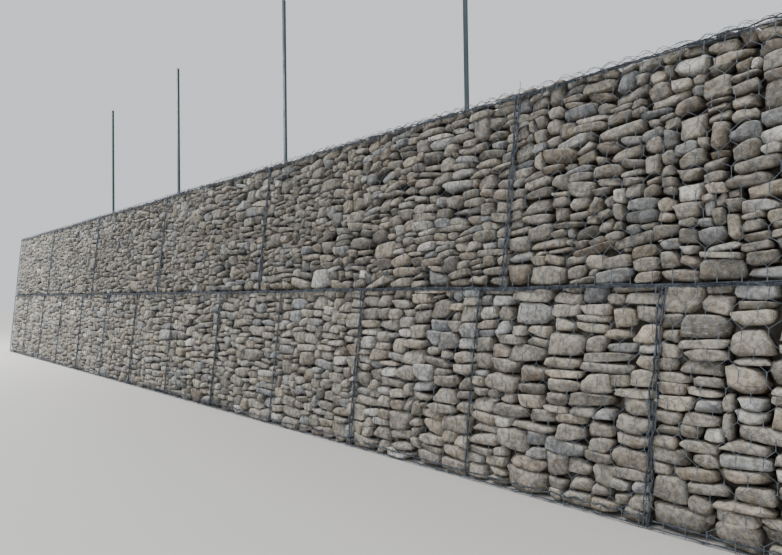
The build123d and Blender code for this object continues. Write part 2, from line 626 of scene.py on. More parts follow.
@dataclass(frozen=True)
class Panel:
    """One face of one cell of a box: the surface that the netting lies in."""

    side: Side
    form: WallForm
    start: float
    end: float
    low: float
    high: float

    @property
    def width(self) -> float:
        """Size across the panel, seen from outside.

        Returns:
            The wall's depth on an end, and the cell's length on any other side.
        """
        if self.side in (Side.FAR_END, Side.NEAR_END):
            return 2 * self.form.half_depth
        return self.end - self.start

    @property
    def height(self) -> float:
        """Size up the panel, or from front to back on the top."""
        return 2 * self.form.half_depth if self.side is Side.TOP else self.high - self.low

    def surface(self, across: np.ndarray, up: np.ndarray, out: np.ndarray) -> np.ndarray:
        """Places in the frame of points given on the panel.

        Args:
            across: distances from the left edge, seen from outside.
            up: distances from the lower edge.
            out: distances outwards from the netting.

        Returns:
            The points, one a row.
        """
        form = self.form
        across, up, out = (np.asarray(value, float) for value in (across, up, out))
        rise = arch(np.clip(up / self.height, 0, 1))
        span = arch(np.clip(across / self.width, 0, 1))
        out = out - form.net_inside
        z = self.low + up
        if self.side in (Side.FRONT, Side.BACK):
            out = out + rise * (form.joint_bulge + span * (form.face_bulge - form.joint_bulge))
            outward = -1.0 if self.side is Side.FRONT else 1.0
            y = form.lean(z) + outward * (form.half_depth + out)
            if self.side is Side.BACK:
                across = self.width - across
            return np.stack([self._along(across, up / self.height), y, z], axis=-1)
        if self.side is Side.TOP:
            rise = np.clip(rise * form.top_shoulder, 0, 1)
            out = out + rise * (form.joint_crown + span * (form.top_crown - form.joint_crown))
            y = form.lean(self.high) - form.half_depth + up
            return np.stack([self._along(across, np.ones_like(up)), y, self.high + out], axis=-1)
        out = out + span * form.end_bulge * np.clip(rise * form.end_shoulder, 0, 1)
        if self.side is Side.FAR_END:
            y = form.lean(z) + form.half_depth - across
            return np.stack([self.start - out, y, z], axis=-1)
        y = form.lean(z) - form.half_depth + across
        return np.stack([self.end + out, y, z], axis=-1)

    def _along(self, across: np.ndarray, share: np.ndarray) -> np.ndarray:
        """Places along the wall, moved with the joints that the panel lies between.

        Args:
            across: distances from the end towards -X.
            share: shares of the course's height.

        Returns:
            The places.
        """
        first, last = self.form.sway(self.start, share), self.form.sway(self.end, share)
        part = across / self.width
        return self.start + across + first * (1.0 - part) + last * part


@dataclass(frozen=True)
class Box:
    """One gabion box: its CAD nodes, its ends, its heights and its cells."""

    name: str
    cage: str
    lid: str
    fill: str
    start: float
    end: float
    low: float
    high: float
    cells: int
    ends: tuple[Side, ...]
    crowned: bool

    def share(self, z: float | np.ndarray) -> float | np.ndarray:
        """The share of the box's height that lies below z."""
        return (z - self.low) / (self.high - self.low)

    def frames(self) -> list[float]:
        """Places along the wall of the box's ends and diaphragms."""
        return [float(x) for x in np.linspace(self.start, self.end, self.cells + 1)]

    def free_ends(self) -> list[float]:
        """Places along the wall of the box's ends that no neighbour stands against."""
        places = {Side.FAR_END: self.start, Side.NEAR_END: self.end}
        return [places[side] for side in self.ends]

    def panels(self, form: WallForm, sides: Sequence[Side]) -> Iterator[Panel]:
        """The panels of the box on the given sides, cell by cell.

        Args:
            form: the wall's form.
            sides: the sides that are wanted.

        Yields:
            Each panel that the box has there.
        """
        marks = self.frames()
        for side in sides:
            if side in (Side.FAR_END, Side.NEAR_END):
                if side in self.ends:
                    yield Panel(side, form, self.start, self.end, self.low, self.high)
            elif side is not Side.TOP or self.crowned:
                for start, end in zip(marks, marks[1:]):
                    yield Panel(side, form, start, end, self.low, self.high)


def read_boxes(form: WallForm) -> list[Box]:
    """Read every box of both courses from the frame's cages and lids.

    Args:
        form: the wall's form.

    Returns:
        The boxes, lower course first, each course from the far end.
    """
    end_stem = "lower_end_{}"
    stems = [*[f"lower_{{}}_{number}" for number in BOX_NUMBERS], end_stem]
    stems += [f"upper_{{}}_{number}" for number in BOX_NUMBERS]
    boxes = []
    for stem in stems:
        cage, lid, fill = (stem.format(kind) for kind in ("basket", "lid", "fill"))
        low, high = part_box(cage)
        marks = ((Side.FAR_END, low.x - form.far), (Side.NEAR_END, high.x - form.near))
        ends = tuple(side for side, gap in marks if abs(gap) < TOUCHING)
        crowned = stem.startswith("upper")
        boxes.append(
            Box(
                name=stem.replace("_{}", ""),
                cage=cage,
                lid=lid,
                fill=fill,
                start=low.x,
                end=high.x,
                low=low.z,
                high=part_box(lid)[1].z,
                cells=1 if crowned or stem == end_stem else STANDARD_CELLS,
                ends=ends,
                crowned=crowned,
            )
        )
    return boxes


@dataclass(frozen=True)
class Masonry:
    """How the stones of a panel are laid: their sizes, and how level their beds are.

    Attributes:
        widths: the least and the greatest width of a stone.
        heights: the least and the greatest height.
        usual: the usual width and height, and spread is how far a size strays from it.
        tilt: how far a stone leans from its bed, and rise how far all rise to the right.
        big_share: how often a stone is big, by the factors in big; foot_factor times as
            often on the lowest bed.
        upright_share: how often a stone may stand up; height_limits are a lying stone's and
            an upright one's greatest height for each unit of width.
        least_part: a room lower than this part of the least height takes no stone.
        narrow: a bed narrower than this part of the least width takes a chip or nothing; chip
            is how wide and how high such a room is at least, as parts of the least sizes.
        follow: how much of its bed's slope a stone takes, and top_slope how much of its own
            slope its top hands on, steepest being the limit.
        last_parts: how much wider and higher than the greatest size a bed's last stone may be.
            A top row that falls short by up to the second times the lowest room for a stone
            is drawn up to the panel's top.
        step: the width of the skyline's columns, and bed_step how uneven a bed may be.
        uneven_foot: how uneven the panel's foot is, and least_step how much a narrow bed is
            raised at least.
        slope_points: a stone on no more columns than this takes no slope from its bed.
        widest_gap: how much a stone widens at most on a side, to touch its neighbour.
        edge_zone: a stone that ends this near to the panel's edge reaches further by
            edge_reach.
    """

    widths: Pair
    heights: Pair
    usual: Pair
    tilt: float
    big_share: float
    upright_share: float
    rise: float = 0.0
    spread: float = 0.32
    big: Pair = (1.35, 1.65)
    foot_factor: float = 3.0
    height_limits: Pair = (0.72, 1.3)
    step: float = 0.008
    bed_step: float = 0.014
    uneven_foot: float = 0.006
    least_step: float = 0.004
    least_part: float = 0.75
    narrow: float = 0.55
    chip: Pair = (0.3, 0.6)
    slope_points: int = 3
    follow: float = 0.7
    top_slope: float = 0.8
    steepest: float = 0.42
    last_parts: Pair = (1.1, 1.2)
    widest_gap: float = 0.030
    edge_zone: float = 0.002
    edge_reach: float = 0.010

    def lay(self, width: float, height: float, rng: np.random.Generator) -> np.ndarray:
        """Lay stones on a panel from the bottom up, each in the lowest place that is left.

        Args:
            width: the panel's width.
            height: the panel's height.
            rng: the source of random numbers.

        Returns:
            One row for each stone: middle across and up, width, height and tilt.
        """
        sky = rng.uniform(0.0, self.uneven_foot, round(width / self.step))
        least = self.heights[0] * self.least_part
        stones: list[tuple[float, ...]] = []
        while sky.min() < height - least:
            lowest = float(sky.min())
            first, last = self._bed(sky, lowest)
            room = (last - first) * self.step
            if room < self.widths[0] * self.narrow:
                # Too narrow for a stone: a chip fills it, or it is bridged
                sides = [sky[first - 1]] if first else []
                sides += [sky[last]] if last < len(sky) else []
                top = max(min(sides), lowest + self.least_step) if sides else height
                if room > self.widths[0] * self.chip[0] and top - lowest > least * self.chip[1]:
                    middle = (first + last) / 2 * self.step
                    stones.append((middle, (lowest + top) / 2, room, top - lowest, 0.0))
                sky[first:last] = top
                continue
            share = self.big_share * (self.foot_factor if lowest < least else 1.0)
            wide, tall = self._pick(room, height - lowest, share, rng)
            count = min(max(round(wide / self.step), 1), last - first)
            left = first if rng.random() < 0.5 else last - count
            bed = sky[left : left + count]
            places = (np.arange(count) - (count - 1) / 2) * self.step
            sloping = count > self.slope_points
            bed_slope = float(np.polyfit(places, bed, 1)[0]) if sloping else 0.0
            slope = bed_slope * self.follow + rng.normal(self.rise, self.tilt)
            slope = float(np.clip(slope, -self.steepest, self.steepest))
            base = float(bed.mean())
            middle = (left + count / 2) * self.step
            stones.append((middle, base + tall / 2, wide, tall, slope))
            sky[left : left + count] = base + tall + slope * self.top_slope * places

        # The top row is drawn up to the panel's top
        laid = np.array(stones)
        short = height - laid[:, 1] - laid[:, 3] / 2
        short[(short < 0) | (short > least * self.last_parts[1])] = 0.0
        laid[:, 1] += short / 2
        laid[:, 3] += short
        return self._close_up(laid, width)

    def _close_up(self, laid: np.ndarray, width: float) -> np.ndarray:
        """Widen the stones until they touch their neighbours on both sides.

        Args:
            laid: the stones, one a row.
            width: the panel's width.

        Returns:
            The stones, with new middles and widths.
        """
        middle, up, wide, tall = laid[:, :4].T
        left, right = middle - wide / 2, middle + wide / 2
        beside = np.abs(up[None] - up[:, None]) < tall[None] / 2
        after = beside & (middle[None] > middle[:, None])
        before = beside & (middle[None] < middle[:, None])
        room_right = np.where(after, left[None] - right[:, None], np.inf).min(axis=1)
        room_left = np.where(before, left[:, None] - right[None], np.inf).min(axis=1)
        at_edge = np.isinf(room_right)
        room_right[at_edge] = 2 * (width - right[at_edge])
        at_edge = np.isinf(room_left)
        room_left[at_edge] = 2 * left[at_edge]
        right = right + np.clip(room_right / 2, 0.0, self.widest_gap)
        left = left - np.clip(room_left / 2, 0.0, self.widest_gap)
        right[right > width - self.edge_zone] += self.edge_reach
        left[left < self.edge_zone] -= self.edge_reach
        return np.stack([(left + right) / 2, up, right - left, tall, laid[:, 4]], axis=1)

    def _bed(self, sky: np.ndarray, lowest: float) -> tuple[int, int]:
        """Find the stretch of the skyline round its lowest place that one bed takes in.

        Args:
            sky: the height that the stones reach in each column.
            lowest: the least of those heights.

        Returns:
            The first column, and the one after the last.
        """
        level = sky <= lowest + self.bed_step
        first = int(np.argmin(sky))
        last = first + 1
        while first > 0 and level[first - 1]:
            first -= 1
        while last < len(sky) and level[last]:
            last += 1
        return first, last

    def _pick(
        self, room: float, left: float, big_share: float, rng: np.random.Generator
    ) -> tuple[float, float]:
        """Pick a stone's width and height for a bed.

        Args:
            room: the bed's width.
            left: the height from the bed to the top of the panel.
            big_share: how often a big stone is picked.
            rng: the source of random numbers.

        Returns:
            The stone's width and height.
        """
        usual_width, usual_height = self.usual
        if rng.random() < big_share:
            usual_width, usual_height = usual_width * self.big[0], usual_height * self.big[1]
        wide, tall = (
            float(np.clip(rng.lognormal(math.log(size), self.spread), *limits))
            for size, limits in ((usual_width, self.widths), (usual_height, self.heights))
        )
        lying, upright = self.height_limits
        tall = min(tall, wide * (upright if rng.random() < self.upright_share else lying))
        if room - wide < self.widths[0]:
            wide = room if room < self.widths[1] * self.last_parts[0] else room / 2
        if left - tall < self.heights[0] * self.least_part:
            tall = min(left, self.heights[1] * self.last_parts[1])
        return wide, tall


COURSED = Masonry(
    widths=(0.072, 0.250),
    heights=(0.031, 0.112),
    usual=(0.142, 0.056),
    tilt=0.040,
    big_share=0.07,
    upright_share=0.03,
)
ROUGH = Masonry(
    widths=(0.066, 0.260),
    heights=(0.028, 0.140),
    usual=(0.132, 0.049),
    tilt=0.105,
    big_share=0.10,
    upright_share=0.05,
    rise=0.05,
)
BACK_STONES = Masonry(
    widths=(0.076, 0.270),
    heights=(0.038, 0.150),
    usual=(0.148, 0.066),
    tilt=0.085,
    big_share=0.08,
    upright_share=0.06,
)
TOP_STONES = Masonry(
    widths=(0.090, 0.260),
    heights=(0.070, 0.190),
    usual=(0.170, 0.125),
    tilt=0.150,
    big_share=0.05,
    upright_share=0.10,
)


@dataclass
class CobbleMould:
    """The few cobble shapes that every stone of the wall is a copy of.

    The face towards the netting, -Y here, is divided finely. The part that is buried behind the
    stone's widest ring is left out, and one flat face closes it there.
    """

    cuts: int
    count: int = 24
    seed: int = 5
    girdle: float = 0.14
    back: float = 0.9
    powers: Pair = (2.6, 5.5)
    taper: float = 0.17
    noise_span: float = 50.0
    lumps: tuple[Pair, ...] = ((0.12, 1.7), (0.09, 4.1))
    flattening: float = 0.95
    front_tilt: float = 0.2
    front_distance: float = 0.80
    flat_counts: tuple[int, int] = (4, 8)
    flat_turn: Pair = (-0.2, 0.5)
    flat_distances: Pair = (0.66, 1.0)
    shapes: list[np.ndarray] = field(default_factory=list)
    faces: list[list[int]] = field(default_factory=list)

    def __post_init__(self) -> None:
        """Model the shapes."""
        rng = np.random.default_rng(self.seed)
        for _ in range(self.count):
            self.shapes.append(self._model(rng))

    def _model(self, rng: np.random.Generator) -> np.ndarray:
        """Model one cobble that fills the cube from -1 to 1.

        Args:
            rng: the source of random numbers.

        Returns:
            Its vertices, one a row.
        """
        stone = bmesh.new()
        bmesh.ops.create_cube(stone, size=2.0)
        rings = [edge for edge in stone.edges if edge.verts[0].co.y == edge.verts[1].co.y]
        bmesh.ops.subdivide_edges(stone, edges=rings, cuts=self.cuts, use_grid_fill=True)
        back = [face for face in stone.faces if face.calc_center_median().y > self.back]
        bmesh.ops.dissolve_faces(stone, faces=back, use_verts=True)
        power = rng.uniform(*self.powers)
        taper = rng.normal(0.0, self.taper, 2)
        start = Vector(rng.uniform(0.0, self.noise_span, 3))
        flats = self._flats(rng)
        for vert in stone.verts:
            vert.co.y = min(vert.co.y, self.girdle)
            way = vert.co.normalized()
            point = way * sum(abs(part) ** power for part in way) ** (-1.0 / power)
            for normal, distance in flats:
                point -= normal * max(point.dot(normal) - distance, 0.0) * self.flattening
            for depth, pitch in self.lumps:
                point *= 1.0 + depth * noise.noise(way * pitch + start)
            point.z *= 1.0 + taper[0] * point.x
            point.x *= 1.0 + taper[1] * point.z
            vert.co = point
        bmesh.ops.recalc_face_normals(stone, faces=stone.faces[:])
        places = np.array([vert.co for vert in stone.verts])
        self.faces = [[vert.index for vert in face.verts] for face in stone.faces]
        stone.free()
        low, high = places.min(axis=0), places.max(axis=0)
        return (places - (low + high) / 2) / ((high - low) / 2)

    def _flats(self, rng: np.random.Generator) -> list[tuple[Vector, float]]:
        """Pick the planes that flatten a cobble's round form here and there.

        Args:
            rng: the source of random numbers.

        Returns:
            Each plane's direction and its distance from the middle.
        """
        tilt = self.front_tilt
        front = Vector((rng.normal(0, tilt), -1.0, rng.normal(0, tilt)))
        flats = [(front.normalized(), self.front_distance)]
        for _ in range(rng.integers(*self.flat_counts)):
            angle = rng.uniform(0, math.tau)
            normal = Vector((math.cos(angle), rng.normal(*self.flat_turn), math.sin(angle)))
            flats.append((normal.normalized(), rng.uniform(*self.flat_distances)))
        return flats


def joined_mesh(name: str, vertices: np.ndarray, mould: CobbleMould) -> bpy.types.Mesh:
    """Join copies of a mould's cobbles into one smooth mesh.

    Args:
        name: the mesh's name.
        vertices: the places of all the copies' vertices, one a row.
        mould: the mould that they are copies from.

    Returns:
        The mesh.
    """
    copies = len(vertices) // len(mould.shapes[0])
    sizes = np.tile([len(face) for face in mould.faces], copies)
    corners = np.concatenate(mould.faces)
    firsts = np.arange(copies) * len(mould.shapes[0])
    loops = (corners[None] + firsts[:, None]).ravel()
    mesh = bpy.data.meshes.new(name)
    mesh.vertices.add(len(vertices))
    mesh.vertices.foreach_set("co", vertices.astype(np.float32).ravel())
    mesh.loops.add(len(loops))
    mesh.loops.foreach_set("vertex_index", loops.astype(np.int32))
    mesh.polygons.add(len(sizes))
    starts = np.concatenate([[0], np.cumsum(sizes)[:-1]])
    mesh.polygons.foreach_set("loop_start", starts.astype(np.int32))
    mesh.polygons.foreach_set("use_smooth", np.ones(len(sizes), dtype=bool))
    mesh.update(calc_edges=True)
    return mesh


def finished_mesh(name: str, shape: bmesh.types.BMesh) -> bpy.types.Mesh:
    """Turn a modelled shape into a mesh, and let go of the shape.

    Args:
        name: the mesh's name.
        shape: the shape.

    Returns:
        The mesh.
    """
    mesh = bpy.data.meshes.new(name)
    shape.to_mesh(mesh)
    shape.free()
    return mesh


def new_object(name: str, data: bpy.types.ID) -> bpy.types.Object:
    """Put a new object in the scene.

    Args:
        name: the object's name.
        data: its mesh, light or camera.

    Returns:
        The object.
    """
    made = bpy.data.objects.new(name, data)
    bpy.context.scene.collection.objects.link(made)
    return made


def add_piece(
    name: str, mesh: bpy.types.Mesh, material: bpy.types.Material, slot: str
) -> bpy.types.Object:
    """Put a finished mesh in the scene as a piece of the wall.

    Args:
        name: the piece's name.
        mesh: its mesh, in the frame's own place.
        material: its finish.
        slot: the record's material slot for it; not used.

    Returns:
        The piece.
    """
    mesh.materials.clear()
    mesh.materials.append(material)
    piece = new_object(name, mesh)
    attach(piece, BODY)
    LOG.info("%s: %d faces", name, len(mesh.polygons))
    return piece


@dataclass
class Moulds:
    """The moulds of the stones: fine ones for the front, plain ones for the other sides."""

    fine: CobbleMould = field(default_factory=lambda: CobbleMould(cuts=3))
    plain: CobbleMould = field(default_factory=lambda: CobbleMould(cuts=2))

    def on(self, side: Side) -> CobbleMould:
        """The mould for the stones of a side."""
        return self.fine if side is Side.FRONT else self.plain


@dataclass
class StoneFill:
    """The stones of one box: laid face stones on every outer side, and rubble behind."""

    box: Box
    form: WallForm
    moulds: Moulds
    seed: int
    edge_gap: float = 0.004
    proud: float = 0.008
    corner_stones: float = 0.070
    corner_rounding: float = 0.50
    edge_rounding: float = 0.78
    top_zone: float = 0.03
    edge_zone: float = 0.02
    roundness: Pair = (0.62, 1.0)
    half_sizes: Pair = (0.522, 0.550)
    pitch: float = 0.11
    thickness: Pair = (0.080, 0.105)
    top_thickness: Pair = (0.045, 0.070)
    set_back: Pair = (0.001, 0.022)
    shades: Pair = (0.34, 0.58)
    shade_spread: float = 0.20
    recess: float = 0.55
    core_inset: float = 0.080
    core_step: float = 0.32
    least_cuts: int = 3
    core_lift: float = 0.02
    core_waver: float = 0.035
    core_lumps: Triple = (7.0, 9.0, 7.0)

    def build(self, stone: bpy.types.Material, rubble: bpy.types.Material, slot: str) -> None:
        """Build and dress the face stones and the rubble.

        Args:
            stone: the finish of the face stones.
            rubble: the finish of the rubble behind them.
            slot: the record's material slot for both.
        """
        rng = np.random.default_rng(self.seed)
        groups = {
            "front_stones": (Side.FRONT,),
            "back_stones": (Side.BACK,),
            "top_stones": (Side.TOP,),
            "end_stones": (Side.FAR_END, Side.NEAR_END),
        }
        for name, sides in groups.items():
            laid = [self._face(panel, rng) for panel in self.box.panels(self.form, sides)]
            if laid:
                places, tints = (np.concatenate(parts) for parts in zip(*laid))
                mould = self.moulds.on(sides[0])
                self._add(f"{self.box.name}_{name}", places, tints, mould, stone, slot)
        self._core(rubble, slot)

    def _add(
        self,
        name: str,
        places: np.ndarray,
        tints: np.ndarray,
        mould: CobbleMould,
        stone: bpy.types.Material,
        slot: str,
    ) -> None:
        """Join the stones of a side into a piece that stands for the box's fill.

        Args:
            name: the piece's name.
            places: the stones' vertices, one a row.
            tints: the stones' tints, one a vertex.
            mould: the mould that the stones are copies from.
            stone: their finish.
            slot: the record's material slot.
        """
        mesh = joined_mesh(name, places, mould)
        colours = mesh.color_attributes.new(CobbleFinish.attribute, "FLOAT_COLOR", "POINT")
        colours.data.foreach_set("color", tints.astype(np.float32).ravel())
        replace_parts(add_piece(name, mesh, stone, slot), self.box.fill)

    def _masonry(self, side: Side) -> Masonry:
        """The way that the stones are laid on a side.

        Args:
            side: the side.

        Returns:
            The masonry.
        """
        if side is Side.TOP:
            return TOP_STONES
        if side is Side.BACK:
            return BACK_STONES
        return ROUGH if self.box.crowned else COURSED

    def _face(self, panel: Panel, rng: np.random.Generator) -> tuple[np.ndarray, np.ndarray]:
        """The stones of one panel.

        Args:
            panel: the panel.
            rng: the source of random numbers.

        Returns:
            Their vertices and their tints, one a row.
        """
        margin = self.edge_gap
        on_top = panel.side is Side.TOP
        side_margin = self.corner_stones if panel.side in (Side.FAR_END, Side.NEAR_END) else 0.0
        foot = self.corner_stones if on_top else 0.0
        proud = self.proud if self.box.crowned and not on_top else 0.0
        laid = self._masonry(panel.side).lay(
            panel.width - 2 * side_margin, panel.height + 2 * proud - 2 * margin - 2 * foot, rng
        )
        across, up, wide, tall, slope = laid.T
        across = across + side_margin
        up = up + margin + foot
        count = len(laid)
        mould = self.moulds.on(panel.side)
        thick = rng.uniform(*(self.top_thickness if on_top else self.thickness), count)
        back = rng.uniform(*self.set_back, count)
        shape = np.stack([mould.shapes[pick] for pick in rng.integers(0, mould.count, count)])
        rounding = rng.uniform(*self.roundness, count)
        rounding = np.minimum(rounding, self._rounding(panel, across, up, wide, tall))
        shape = np.sign(shape) * np.abs(shape) ** rounding[:, None, None]

        # Each copy is turned by quarters, stretched, pitched and tilted to lie on its bed
        quarter = rng.integers(0, 4, count)[:, None] * (math.pi / 2)
        flat_x = shape[:, :, 0] * np.cos(quarter) - shape[:, :, 2] * np.sin(quarter)
        flat_z = shape[:, :, 0] * np.sin(quarter) + shape[:, :, 2] * np.cos(quarter)
        a = flat_x * (wide * self.half_sizes[0])[:, None]
        u = flat_z * (tall * self.half_sizes[1])[:, None]
        pitch = rng.normal(0.0, self.pitch, count)[:, None]
        inward = (1.0 + shape[:, :, 1]) * (thick * 0.5)[:, None] + back[:, None]
        inward = inward + u * pitch + np.abs(pitch) * (tall * 0.5)[:, None]
        angle = np.arctan(slope)[:, None]
        turned_a = a * np.cos(angle) - u * np.sin(angle) + across[:, None]
        turned_u = a * np.sin(angle) + u * np.cos(angle) + up[:, None]
        turned_u = np.clip(turned_u, margin, panel.height - margin + 2 * proud)
        turned_a = np.clip(turned_a, margin, panel.width - margin)
        inward = np.maximum(inward, self.set_back[0])
        places = panel.surface(turned_a, turned_u, -inward).reshape(-1, 3)

        # Its tint is its shade, kind and phase, and how far back each of its points lies;
        # the finish darkens the deeper points as painted shade
        seed = rng.random((count, 3))
        usual = self.shades[0] if self.box.crowned else self.shades[1]
        seed[:, 0] = np.clip(rng.normal(usual, self.shade_spread, count), 0, 1)
        recess = np.clip(shape[:, :, 1] * self.recess, 0, 1)
        tints = np.concatenate(
            [np.repeat(seed[:, None, :], shape.shape[1], axis=1), recess[:, :, None]], axis=2
        )
        return places, tints.reshape(-1, 4)

    def _rounding(
        self, panel: Panel, across: np.ndarray, up: np.ndarray, wide: np.ndarray, tall: np.ndarray
    ) -> np.ndarray:
        """How round each stone of a panel may be: 1 as moulded, and less for a squarer one.

        Args:
            panel: the panel.
            across: the stones' middles across it.
            up: their middles up it.
            wide: their widths.
            tall: their heights.

        Returns:
            The power that each stone's moulded form is raised to at most.
        """
        rounding = np.ones(len(across))
        if panel.side is Side.TOP:
            return rounding
        if self.box.crowned:
            rounding[up + tall / 2 > panel.height - self.top_zone] = self.edge_rounding
        if panel.side in (Side.FRONT, Side.BACK):
            edges = [panel.start, panel.end]
            if panel.side is Side.BACK:
                edges.reverse()
            powers = [
                self.corner_rounding if edge in self.box.free_ends() else self.edge_rounding
                for edge in edges
            ]
            rounding[across - wide / 2 < self.edge_zone] = powers[0]
            rounding[across + wide / 2 > panel.width - self.edge_zone] = powers[1]
        return rounding

    def _core(self, rubble: bpy.types.Material, slot: str) -> None:
        """Model the rubble behind the face stones as one leaning mass.

        Args:
            rubble: its finish.
            slot: the record's material slot for it.
        """
        form, box, inset = self.form, self.box, self.core_inset
        core = bmesh.new()
        bmesh.ops.create_cube(core, size=1.0)
        cuts = max(round((box.end - box.start) / self.core_step), self.least_cuts)
        bmesh.ops.subdivide_edges(core, edges=core.edges[:], cuts=cuts, use_grid_fill=True)
        low = box.low if box.crowned else box.low + self.core_lift
        high = box.high - (inset if box.crowned else 0.0)
        start = box.start + (inset if Side.FAR_END in box.ends else self.edge_gap)
        end = box.end - (inset if Side.NEAR_END in box.ends else self.edge_gap)
        for vert in core.verts:
            x = start + (vert.co.x + 0.5) * (end - start)
            z = low + (vert.co.z + 0.5) * (high - low)
            spot = Vector(part * pitch for part, pitch in zip((x, vert.co.y, z), self.core_lumps))
            rough = 1.0 + self.core_waver * noise.noise(spot)
            y = form.lean(z) + vert.co.y * 2 * (form.half_depth - inset) * rough
            vert.co = Vector((x, y, z))
        name = f"{box.name}_rubble"
        piece = add_piece(name, finished_mesh(name, core), rubble, slot)
        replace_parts(piece, box.fill)


@dataclass
class WireTube:
    """Geometry Nodes that turn paths of edges into round wire, even or uneven."""

    radius: float
    sides: int
    uneven: float = 0.0
    swell_limits: Pair = (0.7, 1.2)
    attribute: str = "swell"
    group: bpy.types.NodeTree | None = None

    def __post_init__(self) -> None:
        """Build the node group."""
        group = bpy.data.node_groups.new("round_wire", "GeometryNodeTree")
        for way in ("INPUT", "OUTPUT"):
            group.interface.new_socket("Geometry", in_out=way, socket_type="NodeSocketGeometry")
        start = group.nodes.new("NodeGroupInput")
        finish = group.nodes.new("NodeGroupOutput")
        paths = group.nodes.new("GeometryNodeMeshToCurve")
        profile = group.nodes.new("GeometryNodeCurvePrimitiveCircle")
        profile.inputs["Resolution"].default_value = self.sides
        profile.inputs["Radius"].default_value = self.radius
        tubes = group.nodes.new("GeometryNodeCurveToMesh")
        tubes.inputs["Fill Caps"].default_value = True
        swell = group.nodes.new("GeometryNodeInputNamedAttribute")
        swell.inputs["Name"].default_value = self.attribute
        group.links.new(start.outputs[0], paths.inputs[0])
        group.links.new(paths.outputs[0], tubes.inputs["Curve"])
        group.links.new(profile.outputs[0], tubes.inputs["Profile Curve"])
        group.links.new(swell.outputs["Attribute"], tubes.inputs["Scale"])
        group.links.new(tubes.outputs[0], finish.inputs[0])
        self.group = group

    def sweep(self, name: str, paths: Sequence[np.ndarray]) -> bpy.types.Mesh:
        """Sweep the wire along every path.

        Args:
            name: the mesh's name.
            paths: the points of each wire, one a row.

        Returns:
            One closed mesh.
        """
        mesh = bpy.data.meshes.new(f"{name}_paths")
        points = np.concatenate(paths).astype(np.float32)
        ends = np.cumsum([len(path) for path in paths])
        firsts = np.arange(len(points) - 1, dtype=np.int32)
        firsts = firsts[~np.isin(firsts + 1, ends)]
        mesh.vertices.add(len(points))
        mesh.vertices.foreach_set("co", points.ravel())
        mesh.edges.add(len(firsts))
        mesh.edges.foreach_set("vertices", np.stack([firsts, firsts + 1], 1).ravel())
        swell = np.random.default_rng(len(points)).normal(1.0, self.uneven, len(points))
        swell = np.clip(swell, *self.swell_limits).astype(np.float32)
        mesh.attributes.new(self.attribute, "FLOAT", "POINT").data.foreach_set("value", swell)
        mesh.update()
        holder = new_object(f"{name}_paths", mesh)
        holder.modifiers.new("round_wire", "NODES").node_group = self.group
        shown = holder.evaluated_get(bpy.context.evaluated_depsgraph_get())
        made = bpy.data.meshes.new_from_object(shown)
        made.name = name
        bpy.data.objects.remove(holder)
        bpy.data.meshes.remove(mesh)
        made.polygons.foreach_set("use_smooth", np.ones(len(made.polygons), dtype=bool))
        return made


@dataclass
class Netting:
    """Double-twist hexagonal netting, with its twists running up each panel."""

    opening: float = 0.092
    row: float = 0.076
    twist: float = 0.040
    wire: float = 0.00135
    slack: float = 0.0040
    lift: float = 0.002
    side_gap: float = 0.004
    seed: int = 11

    def paths(self, panel: Panel, number: int) -> list[np.ndarray]:
        """The wires of one panel.

        Args:
            panel: the panel.
            number: a number that no other panel has, for the slack.

        Returns:
            The points of each wire.
        """
        rng = np.random.default_rng([self.seed, number])
        rows = max(round(panel.height / self.row), 1)
        row = panel.height / rows
        wires = round(panel.width / self.opening) * 2
        half = panel.width / wires
        slack = rng.normal(0.0, self.slack, (wires + 3, rows, 2))
        lift = rng.uniform(-self.lift, self.lift, (wires + 3, rows))
        made = []
        for wire in range(wires + 1):
            across, up, out = [], [], []
            for level in range(rows):
                step = (wire + level) % 2
                pair = wire + step
                middle = (pair - 0.5) * half + slack[pair, level, 0]
                height = (level + 0.5) * row + slack[pair, level, 1]
                shift = self.wire * (1.0 if step else -1.0)
                depth = lift[pair, level]
                across += [middle - shift, middle + shift]
                up += [height - self.twist / 2, height + self.twist / 2]
                out += [depth - shift, depth - shift]
            across = [across[0], *across, across[-1]]
            up = [self.side_gap, *up, panel.height - self.side_gap]
            out = [0.0, *out, 0.0]
            across = np.clip(across, self.side_gap, panel.width - self.side_gap)
            made.append(panel.surface(across, np.array(up), np.array(out)))
        return made


